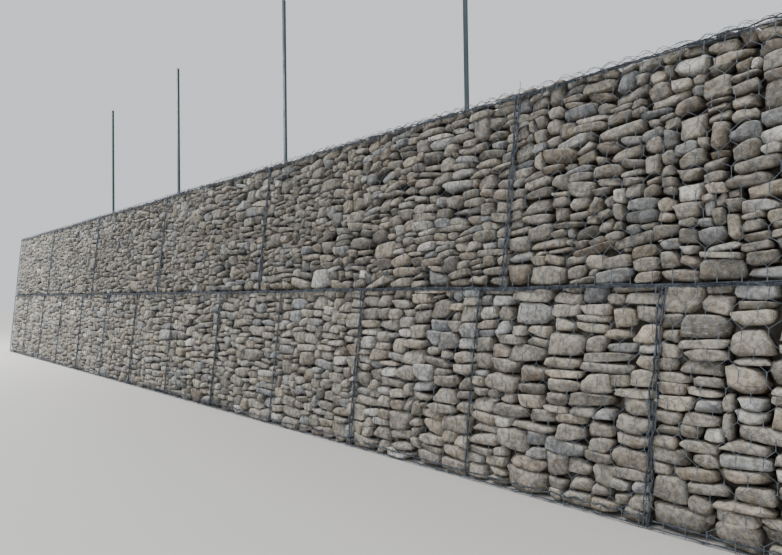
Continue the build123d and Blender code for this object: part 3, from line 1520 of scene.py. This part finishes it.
@dataclass
class Selvedges:
    """The thick edge wires of a cage and its lid, on the lines of their CAD bars.

    Each is a bundle: the selvedge wire with the ends of the netting wound round it. The lid's
    front and back wires are slack along the top of the wall. A seat is how far a wire lies
    above its box's foot or below its top, and a step the distance between a wire's points.
    """

    form: WallForm
    rng: np.random.Generator
    thickness: float = 0.0060
    strands: int = 2
    strand_gap: float = 0.0024
    strand_pitch: float = 0.16
    ground_seat: float = 0.0115
    course_seat: float = 0.0008
    cage_seat: float = 0.0095
    lid_seat: float = 0.0045
    fold: float = 0.026
    stray: float = 0.015
    seen_step: float = 0.056
    upright_step: float = 0.040
    hidden_step: float = 0.24
    slack_step: float = 0.028
    strand_drift: float = 0.55
    waver: float = 0.0022
    waver_limit: float = 0.003
    apart: float = 0.0055
    wander_waves: tuple[Triple, ...] = ((0.5, 0.5, 15.0), (0.65, 0.35, 41.0))
    slack_rise: float = 0.016
    slack_pitch: float = 0.10
    slack_range: Pair = (0.7, 1.3)
    slack_drift: Triple = (0.0, 1.3, 5.3)
    slack_swell: Triple = (0.55, 0.45, 3.7)

    def bundle(self, first: Vector, second: Vector, step: float) -> list[np.ndarray]:
        """The loosely twisted strands of one edge wire, from one point to another.

        Args:
            first: where it starts.
            second: where it ends.
            step: the distance between the strands' points.

        Returns:
            The points of each strand.
        """
        axis = second - first
        count = max(round(axis.length / step), 2) + 1
        share = np.linspace(0.0, 1.0, count)[:, None]
        line = np.array(first)[None] * (1 - share) + np.array(second)[None] * share
        side = np.array(axis.orthogonal().normalized())[None]
        other = np.cross(np.array(axis.normalized()), side)
        drift = np.cumsum(self.rng.normal(0.0, self.strand_drift, (count, 1)), axis=0)
        angle = share * axis.length / self.strand_pitch * math.tau + drift
        made = []
        for strand in range(self.strands):
            turned = angle + strand * math.tau / self.strands
            wire = line + self.strand_gap * (np.cos(turned) * side + np.sin(turned) * other)
            waver = self.rng.normal(0.0, self.waver, (count - 2, 3))
            wire[1:-1] += np.clip(waver, -self.waver_limit, self.waver_limit)
            made.append(wire)
        return made

    def paths(self, box: Box) -> list[np.ndarray]:
        """The edge wires of one box.

        Args:
            box: the box.

        Returns:
            The points of each wire.
        """
        form = self.form
        line = form.bar_line
        marks = box.frames()
        places = [marks[0] + self.apart, *marks[1:-1], marks[-1] - self.apart]
        lowest = box.low + (self.course_seat if box.crowned else self.ground_seat)
        heights = [lowest, box.high - self.cage_seat, box.high - self.lid_seat]
        made = []
        for z in heights:
            shifts = [form.sway(mark, box.share(z)) for mark in marks]
            ends = [form.point(x + shift, 0.0, z) for x, shift in zip(places, shifts)]
            slack = box.crowned and z == heights[-1]
            for side in (-1, 1):
                wires = self._edge(ends[0], ends[-1], side * line, slack)
                if box.crowned or z != lowest:
                    for wire in wires:
                        wire[:, 2] += form.sag(wire[:, 0])
                made += wires
            for number, end in enumerate(ends):
                outer = number in (0, len(ends) - 1) and (box.crowned or bool(box.ends))
                step = self.seen_step if outer else self.hidden_step
                across = Vector((0.0, line, 0.0))
                made += self.bundle(end - across, end + across, step)

        # A slack wire runs a little above the foot of the lower boxes, where the netting folds
        if not box.crowned:
            z = lowest + self.fold
            first, last = (form.point(places[index], 0.0, z) for index in (0, -1))
            for side in (-1, 1):
                made += self._edge(first, last, side * line, True)

        # The upright wires at a joint stray apart, each into its own box, but not at a free end
        strays = [self.stray, *[0.0] * (len(places) - 2), -self.stray]
        strays = [0.0 if mark in box.free_ends() else stray for mark, stray in zip(marks, strays)]
        for mark, x, stray in zip(marks, places, strays):
            for side in (-1, 1):
                foot, head = (form.point(x, side * line, heights[index]) for index in (0, -1))
                wires = self.wander(self.bundle(foot, head, self.upright_step), stray)
                for wire in wires:
                    wire[:, 0] += form.sway(mark, box.share(wire[:, 2]))
                made += wires
        return made

    def _edge(self, first: Vector, last: Vector, out: float, slack: bool) -> list[np.ndarray]:
        """The strands of one edge wire along the wall.

        Args:
            first: where it starts, on the wall's middle plane.
            last: where it ends, on that plane.
            out: how far it lies behind that plane, or before it where this is negative.
            slack: whether it rises in waves.

        Returns:
            The points of each strand.
        """
        step = self.slack_step if slack else self.seen_step
        offset = Vector((0.0, out, 0.0))
        wires = self.bundle(first + offset, last + offset, step)
        return [self.slacken(wire) for wire in wires] if slack else wires

    def wander(self, wires: list[np.ndarray], amount: float) -> list[np.ndarray]:
        """Let an upright edge stray from its joint in slow waves.

        Args:
            wires: the points of its strands.
            amount: how far it strays along the wall at most, with its sign.

        Returns:
            The strands, moved.
        """
        phases = self.rng.uniform(0.0, math.tau, 2)
        for wire in wires:
            slow, quick = (
                wave(wire[:, 2], shape, phase) for shape, phase in zip(self.wander_waves, phases)
            )
            wire[:, 0] += amount * slow * quick
        return wires

    def slacken(self, wire: np.ndarray) -> np.ndarray:
        """Let a wire rise in uneven waves.

        Args:
            wire: its points.

        Returns:
            Its new points.
        """
        along, rng = wire[:, 0], self.rng
        pitch = self.slack_pitch * rng.uniform(*self.slack_range)
        phase = (along + rng.uniform(0, 1)) * math.pi / pitch
        phase = phase + wave(along, self.slack_drift, rng.uniform(0, math.tau))
        rise = wave(along, self.slack_swell, rng.uniform(0, math.tau))
        wire[:, 2] += np.abs(np.sin(phase)) * rise * self.slack_rise
        return wire


@dataclass
class Lacing:
    """Lacing wire that ties the edge wires at a joint: loose runs between tight loops."""

    spacing: float = 0.066
    start: float = 0.3
    stray: float = 0.15
    turns: tuple[int, int] = (1, 3)
    loop_points: int = 5
    loop_advance: float = 0.010
    sway: float = 1.2
    reach: Pair = (0.96, 0.14)
    reach_limits: Pair = (0.6, 1.12)

    def path(
        self, first: Vector, second: Vector, radii: tuple[Vector, Vector], rng: np.random.Generator
    ) -> np.ndarray:
        """One lacing wire along a joint.

        Args:
            first: where it starts.
            second: where it ends.
            radii: how far it reaches from the joint's line, along the wall's face and out of it.
            rng: the source of random numbers.

        Returns:
            Its points.
        """
        axis = second - first
        length = axis.length
        along: list[float] = []
        angles: list[float] = []
        for loop in range(max(round(length / self.spacing), 1)):
            turns = int(rng.integers(*self.turns))
            count = turns * self.loop_points
            steps = np.arange(count + 1) / count
            start = (loop + self.start + rng.uniform(-self.stray, self.stray)) * self.spacing
            front = math.pi / 2 + rng.uniform(-self.sway, self.sway)
            along += list(start + steps * turns * self.loop_advance)
            angles += list(front + steps * turns * math.tau)
        places = np.clip(np.array(along), 0.0, length)[:, None]
        turned = np.array(angles)[:, None]
        reach = np.clip(rng.normal(*self.reach, (len(places), 1)), *self.reach_limits)
        line = np.array(first)[None] + places * np.array(axis.normalized())[None]
        wide, deep = (np.array(radius)[None] for radius in radii)
        return line + reach * (np.cos(turned) * wide + np.sin(turned) * deep)


@dataclass
class LooseEnds:
    """Cut ends of the lacing, left sticking out along the joints, and one up at each top."""

    length: Pair = (0.028, 0.075)
    each: int = 3
    points: int = 5
    along: Pair = (0.06, 0.94)
    upright: Pair = (1.1, 2.0)
    bend: float = 0.9
    depth: float = 0.06
    depth_limit: float = 0.08

    def paths(
        self, foot: Vector, head: Vector, upward: bool, rng: np.random.Generator
    ) -> Iterator[np.ndarray]:
        """The loose ends of one upright joint.

        Args:
            foot: the joint's lower end.
            head: its upper end.
            upward: whether one more end stands up at the head.
            rng: the source of random numbers.

        Yields:
            The points of each loose end.
        """
        share = np.linspace(0.0, 1.0, self.points)[:, None]
        for number in range(self.each + upward):
            topmost = number == self.each
            root = head if topmost else foot.lerp(head, rng.uniform(*self.along))
            angle = rng.uniform(*self.upright) if topmost else rng.uniform(0.0, math.tau)
            reach = rng.uniform(*self.length)
            turned = angle + rng.normal(0.0, self.bend) * share
            depth = rng.normal(0.0, self.depth, turned.shape)
            depth = np.clip(depth, -self.depth_limit, self.depth_limit)
            step = np.concatenate([np.cos(turned), depth, np.sin(turned)], axis=1)
            yield np.array(root)[None] + step * share * reach


@dataclass
class TopFringe:
    """The netting's outermost wires, which stand in uneven loops over the top edges."""

    pitch: float = 0.085
    pitch_spread: float = 0.16
    rise: Pair = (0.010, 0.036)
    step: float = 0.020
    wires: int = 3
    end_gap: float = 0.012
    seat: float = 0.001
    inset: float = 0.002
    waver: float = 0.0016

    def paths(self, box: Box, form: WallForm, rng: np.random.Generator) -> Iterator[np.ndarray]:
        """The fringe along the front and the back of one box's top.

        Args:
            box: the box.
            form: the wall's form.
            rng: the source of random numbers.

        Yields:
            The points of each wire.
        """
        count = round((box.end - box.start) / self.step) + 1
        along = np.linspace(box.start + self.end_gap, box.end - self.end_gap, count)
        for side in (-1, 1):
            for _ in range(self.wires):
                knots = np.arange(box.start, box.end + self.pitch, self.pitch)
                knots = knots + rng.normal(0.0, self.pitch * self.pitch_spread, len(knots))
                tops = rng.uniform(*self.rise, len(knots))
                turn = np.interp(along, knots, np.arange(len(knots)))
                height = np.abs(np.sin(turn * math.pi)) * np.interp(along, knots, tops)
                z = box.high + self.seat + height
                waver = rng.normal(0.0, self.waver, count) - self.inset
                y = form.lean(box.high) + side * (form.bar_line + waver)
                yield np.stack([along, y, z], axis=-1)


@dataclass
class Windings:
    """The lacing of all the wall's joints, with its loose ends.

    A reach is how far a lacing wire goes from its joint's line, along the face and out of it.
    """

    form: WallForm
    boxes: list[Box]
    rng: np.random.Generator
    lacing: Lacing = field(default_factory=Lacing)
    loose_ends: LooseEnds = field(default_factory=LooseEnds)
    wire: float = 0.0017
    joint_reach: Pair = (0.0150, 0.0078)
    course_reach: Pair = (0.0120, 0.0078)
    foot_gap: float = 0.015
    head_gap: float = 0.006
    place_digits: int = 5

    def pieces(self) -> Iterator[tuple[str, list[np.ndarray]]]:
        """The lacing of each side, and that from front to back.

        Yields:
            A piece's name and the points of its wires.
        """
        for side, name in ((-1, "front"), (1, "back")):
            yield f"{name}_joint_lacing", self._joints(side)
            yield f"{name}_course_lacing", self._rows(side)
        yield "cross_lacing", self._crossings()

    def _course(self, crowned: bool) -> list[Box]:
        """The boxes of the upper course, or of the lower one."""
        return [box for box in self.boxes if box.crowned is crowned]

    def _tops(self) -> Pair:
        """The heights of the lower and the upper course's tops."""
        return self._course(False)[0].high, self._course(True)[0].high

    def _marks(self, boxes: Sequence[Box]) -> Iterator[tuple[float, float, bool]]:
        """The joints of a course, from the far end.

        Args:
            boxes: the course's boxes.

        Yields:
            Each joint's place, the place of its lacing, and whether it lies between the ends.
        """
        far, near, inset = self.form.far, self.form.near, self.form.bar / 2
        for x in sorted({round(x, self.place_digits) for box in boxes for x in box.frames()}):
            yield x, min(max(x, far + inset), near - inset), far < x < near

    def _joint_reach(self, inner: bool) -> Pair:
        """The reach at a joint between two boxes or cells, or at an end of the wall."""
        wide, deep = self.joint_reach
        return (wide, deep) if inner else (deep, deep)

    def _joints(self, side: int) -> list[np.ndarray]:
        """The lacing up the joints of both courses, with its loose ends.

        Args:
            side: -1 for the front, 1 for the back.

        Returns:
            The points of each wire.
        """
        form, line = self.form, side * self.form.bar_line
        made: list[np.ndarray] = []
        for crowned in (False, True):
            boxes = self._course(crowned)
            low, high = boxes[0].low + self.foot_gap, boxes[0].high - self.head_gap
            for x, place, inner in self._marks(boxes):
                foot, head = (form.point(place, line, z) for z in (low, high))
                wide, deep = self._joint_reach(inner)
                radii = (Vector((wide, 0, 0)), Vector((0, side * deep, 0)))
                wires = [self.lacing.path(foot, head, radii, self.rng)]
                if inner:
                    wires += self.loose_ends.paths(foot, head, crowned, self.rng)
                for wire in wires:
                    wire[:, 0] += form.sway(x, boxes[0].share(wire[:, 2]))
                made += wires
        return made

    def _rows(self, side: int) -> list[np.ndarray]:
        """The lacing along the course line and along the top edge.

        Args:
            side: -1 for the front, 1 for the back.

        Returns:
            The points of each wire.
        """
        form, line = self.form, side * self.form.bar_line
        course, top = self._tops()
        levels = ((course - form.bar / 2, self.course_reach), (top - form.bar, self.joint_reach))
        made: list[np.ndarray] = []
        for z, (tall, deep) in levels:
            radii = (Vector((0, 0, tall)), Vector((0, side * deep, 0)))
            far, near = (form.point(x, line, z) for x in (form.far, form.near))
            row = self.lacing.path(far, near, radii, self.rng)
            row[:, 2] += form.sag(row[:, 0])
            made.append(row)
        return made

    def _crossings(self) -> list[np.ndarray]:
        """The lacing from front to back, over the upper joints and at the course line's ends.

        Returns:
            The points of each wire.
        """
        form, inset = self.form, self.form.bar / 2
        course, top = self._tops()
        ties: list[tuple[float, float, tuple[Vector, Vector]]] = []
        for x, place, inner in self._marks(self._course(True)):
            wide, deep = self._joint_reach(inner)
            radii = (Vector((wide, 0, 0)), Vector((0, 0, deep)))
            ties.append((place + form.sway(x, 1.0), top - inset, radii))
        tall, deep = self.course_reach
        for x in (form.far + inset, form.near - inset):
            ties.append((x, course - inset, (Vector((0, 0, tall)), Vector((deep, 0, 0)))))
        made: list[np.ndarray] = []
        for x, z, radii in ties:
            front, back = (form.point(x, out, z) for out in (-form.bar_line, form.bar_line))
            made.append(self.lacing.path(front, back, radii, self.rng))
        return made


@dataclass
class WireWork:
    """All the wire of the wall: netting, fringe, edge wires and lacing."""

    form: WallForm
    boxes: list[Box]
    netting: Netting = field(default_factory=Netting)
    fringe: TopFringe = field(default_factory=TopFringe)
    wire_sides: int = 3
    edge_uneven: float = 0.16
    seed: int = 23

    def build(self, bright: WireFinish, dark: WireFinish) -> None:
        """Build and dress all the wire.

        Args:
            bright: the finish of the netting.
            dark: the finish of the edge wires and the lacing, darkened as painted shade.
        """
        net_finish, edge_finish = bright.material(), dark.material()
        net_wire = WireTube(self.netting.wire, self.wire_sides)
        edge_wire = WireTube(Selvedges.thickness / 2, self.wire_sides, self.edge_uneven)
        number = 0
        for box in self.boxes:
            rng = np.random.default_rng([self.seed, number])
            nets: list[np.ndarray] = []
            for panel in box.panels(self.form, tuple(Side)):
                number += 1
                nets += self.netting.paths(panel, number)
            if box.crowned:
                nets += self.fringe.paths(box, self.form, rng)
            mesh = net_wire.sweep(f"{box.name}_netting", nets)
            net = add_piece(f"{box.name}_netting", mesh, net_finish, bright.slot)
            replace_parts(net, box.cage, box.lid)
            selvedges = Selvedges(self.form, rng)
            mesh = edge_wire.sweep(f"{box.name}_selvedges", selvedges.paths(box))
            edges = add_piece(f"{box.name}_selvedges", mesh, edge_finish, dark.slot)
            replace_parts(edges, box.cage, box.lid)
        windings = Windings(self.form, self.boxes, np.random.default_rng(self.seed))
        lace_wire = WireTube(windings.wire, self.wire_sides)
        for name, paths in windings.pieces():
            add_piece(name, lace_wire.sweep(name, paths), edge_finish, dark.slot)


@dataclass
class FencePosts:
    """The T-section posts, whose CAD shapes stay and get their coating."""

    numbers: Sequence[int] = range(1, 6)

    def dress(self, nodes: Mapping[str, bpy.types.Object], finish: PostFinish) -> None:
        """Coat every post.

        Args:
            nodes: the frame's CAD objects by name.
            finish: the coating.
        """
        material = finish.material()
        for number in self.numbers:
            post = nodes[f"fence_post_{number}"]
            post.data.materials.clear()
            post.data.materials.append(material)
            LOG.info("%s: coated", post.name)


@dataclass(frozen=True)
class Sun:
    """A far lamp: the way it shines, its strength, its angle in degrees and its colour."""

    name: str
    way: Triple
    strength: float
    softness: float
    colour: Triple

    def build(self) -> None:
        """Hang the lamp."""
        data = bpy.data.lights.new(self.name, "SUN")
        data.angle = math.radians(self.softness)
        data.energy = self.strength
        data.color = self.colour
        lamp = new_object(self.name, data)
        lamp.rotation_euler = Vector(self.way).to_track_quat("-Z", "Y").to_euler()


@dataclass
class Studio:
    """A plain pale floor, soft light and a camera where the photograph was taken from."""

    form: WallForm
    beyond_end: float = 0.353
    face_height: float = 1.0
    from_face: float = 2.634
    eye_height: float = 0.988
    heading: float = 40.9
    pitch: float = 1.16
    roll: float = -0.8
    focal: float = 30.3
    sensor: float = 36.0
    floor_size: float = 90.0
    sky: float = 0.93
    sky_colour: Colour = (0.94, 0.96, 1.0, 1.0)
    softbox: float = 500.0
    softbox_size: Pair = (5.6, 2.0)
    softbox_place: Triple = (-6.40, -3.2, 5.2)
    softbox_way: Triple = (0.0, 1.0, -1.5)
    suns: tuple[Sun, ...] = (
        Sun("key", (0.35, 0.55, -1.0), 1.54, 24.0, (1.0, 0.97, 0.92)),
        Sun("fill", (-0.30, -0.80, -1.0), 0.8, 40.0, (0.92, 0.96, 1.0)),
    )

    def build(self) -> None:
        """Build the floor, the lights and the camera."""
        self._floor()
        self._lights()
        self._camera()

    def _floor(self) -> None:
        """Lay the floor."""
        floor = bmesh.new()
        bmesh.ops.create_grid(floor, x_segments=1, y_segments=1, size=self.floor_size / 2)
        mesh = finished_mesh("floor", floor)
        mesh.materials.append(FloorFinish().material())
        ground = new_object("floor", mesh)
        ground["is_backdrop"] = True

    def _lights(self) -> None:
        """Light the wall from a wide pale sky, a soft key lamp in front and a fill behind."""
        world = bpy.data.worlds.new("studio")
        bpy.context.scene.world = world
        world.use_nodes = True
        backdrop = world.node_tree.nodes["Background"]
        backdrop.inputs["Color"].default_value = self.sky_colour
        backdrop.inputs["Strength"].default_value = self.sky
        self._softbox()
        for sun in self.suns:
            sun.build()

    def _softbox(self) -> None:
        """Hang a wide soft lamp in front of the far half of the wall."""
        data = bpy.data.lights.new("softbox", "AREA")
        data.shape = "RECTANGLE"
        data.size, data.size_y = self.softbox_size
        data.energy = self.softbox
        lamp = new_object("softbox", data)
        lamp.location = self.softbox_place
        lamp.rotation_euler = Vector(self.softbox_way).to_track_quat("-Z", "Z").to_euler()

    def _camera(self) -> None:
        """Stand the camera beyond the near end, looking along the face towards the far end."""
        data = bpy.data.cameras.new("camera")
        data.sensor_width = self.sensor
        data.lens = self.focal
        camera = new_object("camera", data)
        face = self.form.lean(self.face_height) - self.form.half_depth
        camera.location = (self.form.near + self.beyond_end, face - self.from_face, self.eye_height)
        heading, pitch = math.radians(self.heading), math.radians(self.pitch)
        level = math.cos(pitch)
        way = (-math.cos(heading) * level, math.sin(heading) * level, math.sin(pitch))
        roll = Quaternion((0, 0, 1), math.radians(self.roll))
        turn = Vector(way).to_track_quat("-Z", "Y") @ roll
        camera.rotation_euler = turn.to_euler()
        bpy.context.scene.camera = camera


def corners(bounds: tuple[Vector, Vector]) -> list[list[float]]:
    """Bounds as plain lists of numbers."""
    return [list(corner) for corner in bounds]


def main() -> None:
    """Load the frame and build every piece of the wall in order."""
    logging.basicConfig(level=logging.INFO, format="%(message)s")
    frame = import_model()
    cad_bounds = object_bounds()
    form = WallForm.from_frame()
    boxes = read_boxes(form)
    Studio(form).build()
    cobble = CobbleFinish()
    stone, rubble = cobble.material(), RubbleFinish().material()
    moulds = Moulds()
    for number, box in enumerate(boxes):
        StoneFill(box, form, moulds, FIRST_SEED + number).build(stone, rubble, cobble.slot)
    WireWork(form, boxes).build(NETTING_WIRE, SHADED_EDGE_WIRE)
    FencePosts().dress(frame["nodes"], PostFinish())
    {"cad": corners(cad_bounds), "visual": corners(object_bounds())}


if __name__ == "__main__":
    main()
